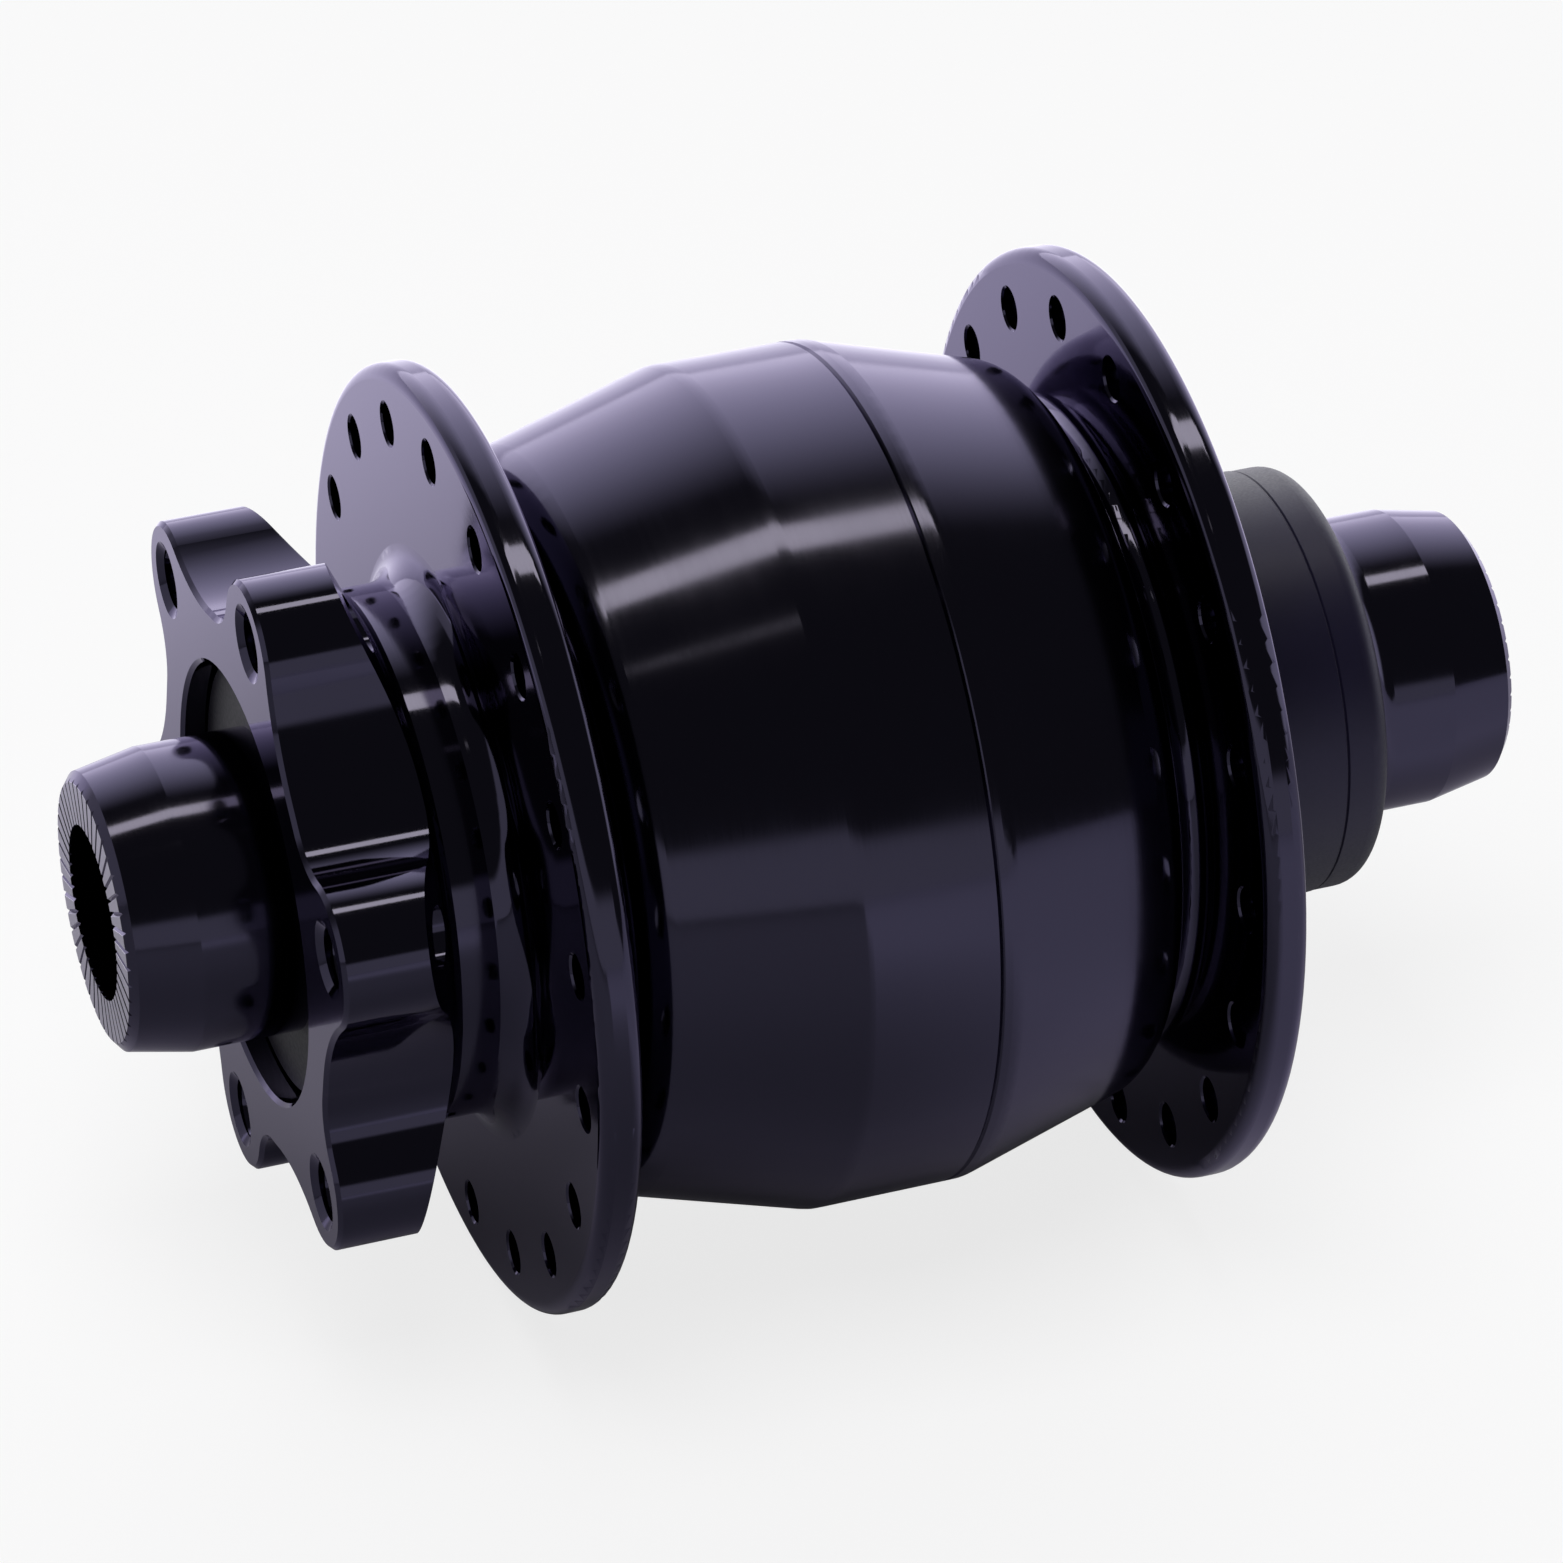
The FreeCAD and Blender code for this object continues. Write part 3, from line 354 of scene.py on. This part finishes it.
def moulded(name, colour, roughness, grain_per_metre, grain_depth, sheen=PLAIN_SHEEN, tint=WHITE):
    """A dielectric with fine grain; sheen and tint set how much and what colour it mirrors."""
    material = new_material(name)
    shader = surface(material)
    shader.inputs["Specular IOR Level"].default_value = sheen
    shader.inputs["Specular Tint"].default_value = tint
    grain = object_noise(material, grain_per_metre, GRAIN_DETAIL)
    patches = vary(material, object_noise(material, CLOUDS), PATCH_MIDDLE, PATCH_SWING)
    patchy = mix_colour(material, patches, colour, shaded(colour, PATCH_SHADE))
    join(material, patchy, shader.inputs["Base Color"])
    join(material, vary(material, grain, roughness, GRAIN_SWING), shader.inputs["Roughness"])
    join(material, bump(material, grain, grain_depth), shader.inputs["Normal"])
    return material


MOULDED = {
    "black_plastic": dict(
        colour=(0.0068, 0.0055, 0.017, 1.0), roughness=0.45,
        grain_per_metre=5000.0, grain_depth=0.003, sheen=0.37, tint=(0.72, 0.69, 1.0, 1.0),
    ),
    "black_rubber": dict(
        colour=(0.004, 0.0038, 0.006, 1.0), roughness=0.50,
        grain_per_metre=3000.0, grain_depth=0.004, sheen=0.25, tint=(0.80, 0.75, 1.0, 1.0),
    ),
    "cage_plastic": dict(
        colour=(0.72, 0.66, 0.52, 1.0), roughness=0.48, grain_per_metre=3000.0, grain_depth=0.004
    ),
    "bobbin_plastic": dict(
        colour=(0.80, 0.78, 0.70, 1.0), roughness=0.50, grain_per_metre=2500.0, grain_depth=0.004
    ),
    "lead_jacket": dict(
        colour=(0.35, 0.03, 0.03, 1.0), roughness=0.45, grain_per_metre=2500.0, grain_depth=0.004
    ),
}
for slot, look in MOULDED.items():
    keep_finish(slot, moulded(f"{slot}_finish", **look))

# %% [markdown]
# ## Bare metals inside the hub
#
# Behind the covers there is turned alloy, ground bearing steel, pressed electrical steel and
# phosphated spring steel, with sintered magnets and brass blades. One grey metal would do from
# afar, but close up they differ in colour, in roughness and in the marks that their making left:
# rings on turned parts, and a fine random grain on the others.

# %% Turned metals
RING_SHADE = 0.85
RING_SWING = 0.05


def turned_metal(name, colour, roughness, lines_per_mm, line_depth):
    """Bare metal with the rings that a turning tool leaves."""
    material = new_material(name)
    shader = surface(material)
    shader.inputs["Metallic"].default_value = 1.0
    along, radius = hub_place(material)
    lines = lathe_lines(material, along, radius, lines_per_mm)
    ringed = mix_colour(material, lines, colour, shaded(colour, RING_SHADE))
    join(material, ringed, shader.inputs["Base Color"])
    join(material, vary(material, lines, roughness, RING_SWING), shader.inputs["Roughness"])
    join(material, bump(material, lines, line_depth), shader.inputs["Normal"])
    return material


TURNED = {
    "axle_alloy": dict(
        colour=(0.66, 0.66, 0.68, 1.0), roughness=0.30, lines_per_mm=6.0, line_depth=0.002
    ),
    "bearing_steel": dict(
        colour=(0.60, 0.60, 0.61, 1.0), roughness=0.20, lines_per_mm=12.0, line_depth=0.0008
    ),
    "yoke_steel": dict(
        colour=(0.50, 0.50, 0.50, 1.0), roughness=0.33, lines_per_mm=5.0, line_depth=0.002
    ),
}
for slot, look in TURNED.items():
    keep_finish(slot, turned_metal(f"{slot}_finish", **look))


# %% Grained metals
def grained_metal(name, colour, roughness, grain_per_metre, grain_depth):
    """The grain of the moulded finish, on bare metal."""
    material = moulded(name, colour, roughness, grain_per_metre, grain_depth)
    surface(material).inputs["Metallic"].default_value = 1.0
    return material


GRAINED = {
    "ball_steel": dict(
        colour=(0.74, 0.74, 0.75, 1.0), roughness=0.07, grain_per_metre=4000.0, grain_depth=0.0002
    ),
    "spring_steel": dict(
        colour=(0.10, 0.10, 0.11, 1.0), roughness=0.42, grain_per_metre=5000.0, grain_depth=0.003
    ),
    "claw_steel": dict(
        colour=(0.42, 0.42, 0.43, 1.0), roughness=0.38, grain_per_metre=2500.0, grain_depth=0.004
    ),
    "magnet": dict(
        colour=(0.13, 0.13, 0.14, 1.0), roughness=0.55, grain_per_metre=3500.0, grain_depth=0.006
    ),
    "terminal_brass": dict(
        colour=(0.72, 0.66, 0.50, 1.0), roughness=0.25, grain_per_metre=3000.0, grain_depth=0.001
    ),
}
for slot, look in GRAINED.items():
    keep_finish(slot, grained_metal(f"{slot}_finish", **look))

# %% [markdown]
# ## Winding
#
# The coil is hundreds of turns of enamelled copper wire laid in rows. Modelling each turn would
# cost many faces that nobody sees, so a wave along the axis and away from it gives the rows as
# bump, and the enamel is a glossy coat. The same wave also paints shade into the copper's colour,
# which is darker between the rows, where the grooves would lie in shade.

# %% Winding
WIRE_PITCH = 0.55
ROW_DEPTH = 0.08
COPPER = (0.62, 0.22, 0.07, 1.0)
# Painted shade: a darker copper for the grooves between the rows of wire.
ROW_GROOVE_PAINTED_SHADE = (0.20, 0.06, 0.02, 1.0)
ENAMEL_COAT = 0.6
ENAMEL_ROUGHNESS = 0.28
ENAMEL_SWING = 0.06
ENAMEL_CLOUDS = 900.0


def winding_finish():
    material = new_material("winding_finish")
    shader = surface(material)
    along, radius = hub_place(material)
    place = math_step(material, "ADD", along, radius)
    phase = math_step(material, "MULTIPLY", place, math.tau / WIRE_PITCH)
    rows = math_step(material, "ABSOLUTE", math_step(material, "SINE", phase))
    # Painted shade: the colour is darker between the rows, in place of the shade in the grooves.
    join(material, mix_colour(material, rows, ROW_GROOVE_PAINTED_SHADE, COPPER), shader.inputs["Base Color"])
    shader.inputs["Metallic"].default_value = 1.0
    shader.inputs["Coat Weight"].default_value = ENAMEL_COAT
    clouds = object_noise(material, ENAMEL_CLOUDS)
    roughness = vary(material, clouds, ENAMEL_ROUGHNESS, ENAMEL_SWING)
    join(material, roughness, shader.inputs["Roughness"])
    join(material, bump(material, rows, ROW_DEPTH), shader.inputs["Normal"])
    return material


keep_finish("winding_copper", winding_finish())

# %% [markdown]
# ## Every slot gets its finish
#
# The record names one material slot for each piece. A finish could be set on each node by name,
# but the finishes above are kept by slot, so one loop dresses all the nodes.

# %% Dress the nodes
for subpart in frame["record"]["subparts"]:
    node = frame["nodes"][subpart["node"]]
    for material_slot in node.material_slots:
        material_slot.material = finishes[subpart["material_slot"]]

# %% [markdown]
# ## Threads in the rotor bolt holes
#
# The six lugs are tapped for the rotor's bolts, and the photograph shows the thread's ridges just
# inside the holes. A thread could be a bump, but it is seen from the front, where its outline
# breaks up the hole's edge. So one small triangle is turned into a helix by the Screw modifier,
# its two ends are filled, and it is moved into the first hole. Five copies are then turned about
# the hub's axis, each with a mesh of its own.

# %% One rotor bolt thread
BOLT_HOLE_R = 2.1 * MM
THREAD_PITCH = 0.8 * MM
THREAD_TURNS = 7
THREAD_STEPS = 36
THREAD_RIDGE_R = 0.10 * MM
THREAD_RIDGE_STRETCH = 3.4
THREAD_SINK = 0.04 * MM
RIDGE_SIDES = 3


def make_thread():
    """One ridge wound about the world's Y axis, starting at the origin."""
    bpy.ops.mesh.primitive_circle_add(
        vertices=RIDGE_SIDES,
        radius=THREAD_RIDGE_R,
        location=(BOLT_HOLE_R - THREAD_SINK, 0, 0),
        rotation=(0, 0, math.radians(90)),
    )
    thread = bpy.context.object
    bpy.ops.object.transform_apply(location=True, rotation=True, scale=True)
    bpy.ops.object.mode_set(mode="EDIT")
    bpy.ops.mesh.select_all(action="SELECT")
    bpy.ops.transform.resize(
        value=(1, THREAD_RIDGE_STRETCH, 1), center_override=(BOLT_HOLE_R, 0, 0)
    )
    bpy.ops.object.mode_set(mode="OBJECT")
    screw = thread.modifiers.new("helix", "SCREW")
    screw.axis = "Y"
    screw.screw_offset = THREAD_PITCH
    screw.iterations = THREAD_TURNS
    screw.steps = screw.render_steps = THREAD_STEPS
    bpy.ops.object.modifier_apply(modifier=screw.name)
    bpy.ops.object.mode_set(mode="EDIT")
    bpy.ops.mesh.select_all(action="SELECT")
    bpy.ops.mesh.fill_holes(sides=RIDGE_SIDES)
    bpy.ops.mesh.select_all(action="SELECT")
    bpy.ops.mesh.normals_make_consistent(inside=False)
    bpy.ops.object.mode_set(mode="OBJECT")
    return thread


first_thread = make_thread()
thread_size = [round(d / MM, 2) for d in first_thread.dimensions]
print("thread:", len(first_thread.data.polygons), "faces, size in mm", thread_size)

# %% Six threads in their holes
BOLT_CIRCLE_R = 22.0 * MM
BOLT_COUNT = 6
FIRST_BOLT_ANGLE = math.radians(50.0)
THREAD_FROM = 33.15 * MM
SMOOTH_BELOW = math.radians(50.0)


def place_threads(first):
    """The first thread goes to its hole; the others are copies turned about the hub's axis."""
    first.location = (
        BOLT_CIRCLE_R * math.sin(FIRST_BOLT_ANGLE),
        THREAD_FROM,
        BOLT_CIRCLE_R * math.cos(FIRST_BOLT_ANGLE),
    )
    bpy.ops.object.transform_apply(location=True)
    bpy.ops.object.shade_smooth_by_angle(angle=SMOOTH_BELOW)
    threads = [first]
    for index in range(1, BOLT_COUNT):
        bpy.ops.object.select_all(action="DESELECT")
        first.select_set(True)
        bpy.context.view_layer.objects.active = first
        bpy.ops.object.duplicate()
        copy = bpy.context.object
        bpy.ops.transform.rotate(
            value=index * math.tau / BOLT_COUNT, orient_axis="Y", center_override=(0, 0, 0)
        )
        bpy.ops.object.transform_apply(location=True, rotation=True)
        threads.append(copy)
    return threads


for number, thread in enumerate(place_threads(first_thread), 1):
    thread.name = f"rotor_bolt_thread_{number}"
    thread.data.materials.append(finishes["black_shell"])
    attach(thread, "shell")
    corners = [Vector(corner) for corner in thread.bound_box]
    middle = sum(corners, Vector()) / len(corners)
    print(thread.name, "around", [round(c / MM, 2) for c in middle])
bpy.ops.object.select_all(action="DESELECT")

# %% [markdown]
# ## Floor
#
# A pale floor carries the hub's shadow. Part of what the camera sees on it is a plain white glow,
# and the rest is an ordinary white surface that takes the shadow. Mirrors see less of the glow: in
# the photograph the table is bright behind the hub, grey beside its plain end on the camera's
# side, and dark right under the hub. The mirrored glow is a touch violet, as the polished faces
# are in the photograph.

# %% Floor
FLOOR_WIDTH = 6.0
FLOOR_WHITE = (0.86, 0.86, 0.87, 1.0)
FLOOR_ROUGHNESS = 0.9
CAMERA_GLOW_SHARE = 0.78
MIRROR_GLOW_SHARE = 0.50
MIRROR_GLOW_TINT = (1.0, 0.98, 1.10, 1.0)
FAR_GLOW = 2.2
FAR_GLOW_SLANT = -0.25
FAR_GLOW_FROM = 0.02
FAR_GLOW_TO = 0.13
SIDE_GLOW = 0.95
SIDE_GLOW_FROM = 0.005
SIDE_GLOW_TO = -0.045
SIDE_GLOW_NEAR = -0.040
SIDE_GLOW_ENDS = -0.005


def mix_shaders(material, factor, first, second):
    """The first shader where the factor is 0, and the second where it is 1."""
    node = add_node(material, "ShaderNodeMixShader")
    for source, target in zip((factor, first, second), node.inputs):
        join(material, source, target)
    return node.outputs[0]


def floor_finish():
    """White that takes a shadow, mixed with a glow that depends on who looks."""
    material = new_material("studio_floor_finish")
    shader = surface(material)
    shader.inputs["Base Color"].default_value = FLOOR_WHITE
    shader.inputs["Roughness"].default_value = FLOOR_ROUGHNESS
    shader.inputs["Specular IOR Level"].default_value = 0.0
    rays = add_node(material, "ShaderNodeLightPath").outputs
    camera = rays["Is Camera Ray"]
    mirror = math_step(material, "ADD", rays["Is Glossy Ray"], rays["Is Transmission Ray"])
    mirror_share = math_step(material, "MULTIPLY", mirror, MIRROR_GLOW_SHARE)
    share = math_step(material, "MULTIPLY_ADD", camera, CAMERA_GLOW_SHARE, mirror_share)
    split = add_node(material, "ShaderNodeSeparateXYZ")
    join(material, add_node(material, "ShaderNodeTexCoord").outputs["Object"], split.inputs[0])
    x, y, z = split.outputs
    reach = math_step(material, "MULTIPLY_ADD", y, FAR_GLOW_SLANT, x)
    behind = map_range(material, reach, FAR_GLOW_FROM, FAR_GLOW_TO, 0.0, FAR_GLOW)
    along_side = map_range(material, y, SIDE_GLOW_FROM, SIDE_GLOW_TO, 0.0, SIDE_GLOW)
    on_near_side = map_range(material, x, SIDE_GLOW_NEAR, SIDE_GLOW_ENDS, 1.0, 0.0)
    beside = math_step(material, "MULTIPLY", along_side, on_near_side)
    mirrored = math_step(material, "MAXIMUM", behind, beside)
    strength = math_step(material, "MULTIPLY_ADD", mirror, mirrored, camera)
    glow = add_node(material, "ShaderNodeEmission")
    join(material, mix_colour(material, camera, MIRROR_GLOW_TINT, WHITE), glow.inputs["Color"])
    join(material, strength, glow.inputs["Strength"])
    seen = mix_shaders(material, share, shader.outputs[0], glow.outputs[0])
    join(material, seen, material.node_tree.nodes["Material Output"].inputs["Surface"])
    return material


bpy.ops.mesh.primitive_plane_add(size=FLOOR_WIDTH, location=(0, 0, cad_box[0].z))
floor = bpy.context.object
floor.name = "studio_floor"
floor.data.materials.append(floor_finish())
print("floor at", round(cad_box[0].z, 4))

# %% [markdown]
# ## Studio light
#
# Black gloss shows the studio more than itself. The photograph's hub mirrors a white backdrop
# behind it, the white table in front, a pale wall past its plain end, a dark room on the camera's
# side and one long, narrow lamp overhead. The room could be built from panels, but as soft
# functions of direction the world holds all but the lamp, with no geometry and with edges that are
# easy to move. The edges of the backdrop and of the table are slanted, because neither stood
# square to the hub, and the table's edge has two parts, a level one and a steep one.

# %% World
ROOM_LEVEL = 0.08
TABLE_LEVEL = 0.72
TABLE_FRONT_SLANT = -0.09
TABLE_SIDE_SLANT = -0.90
TABLE_SIDE_DROP = -0.22
TABLE_EDGE = (0.25, 0.33)
BACKDROP_LEVEL = 2.6
BACKDROP_SLANT = -0.35
BACKDROP_EDGE = (0.38, 1.0)
END_WALL_LEVEL = 1.6
END_WALL_EDGE = (-0.88, -0.96)


def make_world():
    """Plain white for the camera, and the studio's soft shapes for everything else."""
    world = bpy.data.worlds.new("studio")
    world.use_nodes = True
    bpy.context.scene.world = world
    split = add_node(world, "ShaderNodeSeparateXYZ")
    join(world, add_node(world, "ShaderNodeTexCoord").outputs["Generated"], split.inputs[0])
    x, y, z = split.outputs
    front = math_step(world, "MULTIPLY_ADD", y, TABLE_FRONT_SLANT, z)
    dropped = math_step(world, "ADD", z, TABLE_SIDE_DROP)
    side = math_step(world, "MULTIPLY_ADD", y, TABLE_SIDE_SLANT, dropped)
    table_height = math_step(world, "MAXIMUM", front, side)
    table = map_range(world, table_height, *TABLE_EDGE, TABLE_LEVEL, ROOM_LEVEL)
    backdrop_reach = math_step(world, "MULTIPLY_ADD", y, BACKDROP_SLANT, x)
    backdrop = map_range(world, backdrop_reach, *BACKDROP_EDGE, 0.0, BACKDROP_LEVEL)
    end_wall = map_range(world, y, *END_WALL_EDGE, 0.0, END_WALL_LEVEL)
    walls = math_step(world, "MAXIMUM", backdrop, end_wall)
    studio = world.node_tree.nodes["Background"]
    studio.inputs["Color"].default_value = WHITE
    join(world, math_step(world, "MAXIMUM", walls, table), studio.inputs["Strength"])
    white = add_node(world, "ShaderNodeBackground")
    white.inputs["Color"].default_value = WHITE
    camera = add_node(world, "ShaderNodeLightPath").outputs["Is Camera Ray"]
    seen = mix_shaders(world, camera, studio.outputs[0], white.outputs[0])
    join(world, seen, world.node_tree.nodes["World Output"].inputs["Surface"])


make_world()
print("world: backdrop", BACKDROP_LEVEL, "table", TABLE_LEVEL, "room", ROOM_LEVEL)

# %% [markdown]
# ## Lamps
#
# The long lamp overhead gives the bright line along every polished edge. A short, thin one beside
# it gives the second line on the barrel. Only mirrors see these two. The hub's plain shading and
# its soft shadow come from a large lamp over the camera's shoulder that mirrors don't see.

# %% Lamps
HUB_AXIS = Vector((0, 1, 0))
WARM_WHITE = (1.0, 1.0, 0.76)


def make_lamp(name, direction, distance, width, length, radiance, colour=WHITE[:3]):
    """A rectangular lamp that faces the hub, with its length along the hub's axis."""
    data = bpy.data.lights.new(name, "AREA")
    data.shape = "RECTANGLE"
    data.size = width
    data.size_y = length
    data.energy = radiance * math.pi * width * length
    data.color = colour
    lamp = bpy.data.objects.new(name, data)
    away = Vector(direction).normalized()
    side = HUB_AXIS.cross(away).normalized()
    turn = Matrix((side, away.cross(side), away)).transposed()
    lamp.matrix_world = Matrix.Translation(away * distance) @ turn.to_4x4()
    bpy.context.scene.collection.objects.link(lamp)
    print(name, "gives", round(data.energy, 2), "W")
    return lamp


strip = make_lamp(
    "overhead_strip", direction=(0.15, -0.05, 0.95), distance=0.95,
    width=0.133, length=0.95, radiance=6.4, colour=WARM_WHITE,
)
strip.visible_diffuse = False
thin_strip = make_lamp(
    "thin_strip", direction=(-0.28, 0.24, 0.93), distance=0.25,
    width=0.010, length=0.034, radiance=0.9, colour=WARM_WHITE,
)
thin_strip.visible_diffuse = False
key = make_lamp(
    "soft_key", direction=(-0.28, 0.20, 1.0), distance=1.1,
    width=0.7, length=0.7, radiance=5.2,
)
key.visible_glossy = False

# %% Finish
bpy.context.scene.view_settings.view_transform = "Standard"
